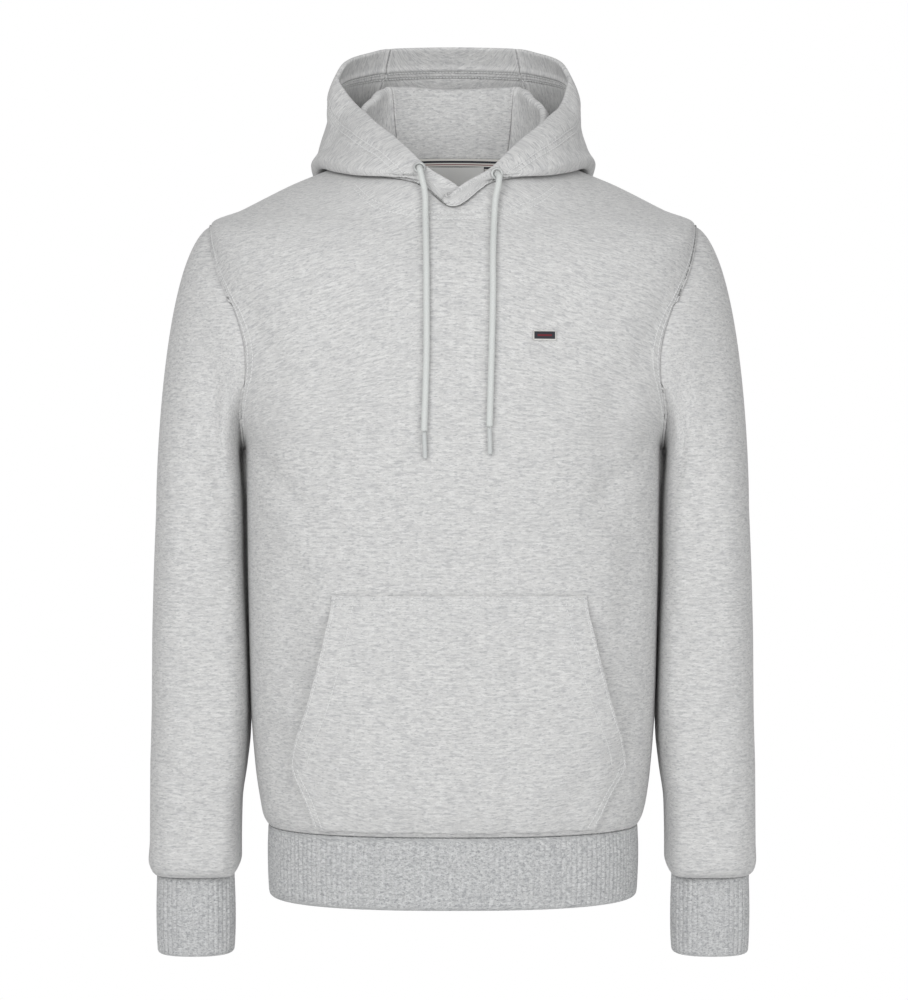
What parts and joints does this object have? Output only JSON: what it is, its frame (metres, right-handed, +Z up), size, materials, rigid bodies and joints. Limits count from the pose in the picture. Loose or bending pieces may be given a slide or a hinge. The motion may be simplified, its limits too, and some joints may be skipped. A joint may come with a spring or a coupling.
{
  "type": "pullover hoodie",
  "caption": "Pullover hoodie in light heather grey fleece, filled out as worn, with the hood down, a drawstring, a front pouch pocket and ribbed hem and cuffs.",
  "frame": {"origin": "middle of the neck opening, level with the high shoulder points where the shoulder seams meet the neck seam", "axes": "+Z up, the front faces -Y, +X is the wearer's left"},
  "size_m": [0.571, 0.3058, 0.8749],
  "materials": {
    "fleece": "light heather grey brushed-back fleece with darker flecks, matte",
    "rib_knit": "heather grey two-by-two rib knit, matte, slightly darker than the fleece",
    "drawcord": "light cool grey round braided cotton cord, matte",
    "cord_end": "cord end wrapped tight and bound, matte",
    "eyelet_grey": "small tonal grey eyelet, satin",
    "woven_tape": "off-white twill tape with two charcoal lines and a maroon centre line",
    "woven_label": "off-white woven label, blank",
    "woven_badge": "charcoal woven badge with an off-white border and one maroon bar"
  },
  "bodies": {
    "root": {"front_body": "fleece", "back_body": "fleece", "sleeve_left": "fleece", "sleeve_right": "fleece", "cuff_left": "rib_knit", "cuff_right": "rib_knit", "hem_rib": "rib_knit", "hood_centre": "fleece", "hood_left": "fleece", "hood_right": "fleece", "pocket": "fleece", "eyelet_left": "eyelet_grey", "eyelet_right": "eyelet_grey", "cord_left": "drawcord", "cord_left_tip": "cord_end", "cord_right": "drawcord", "cord_right_tip": "cord_end", "neck_tape": "woven_tape", "neck_label": "woven_label", "chest_badge": "woven_badge"}
  },
  "joints": []
}
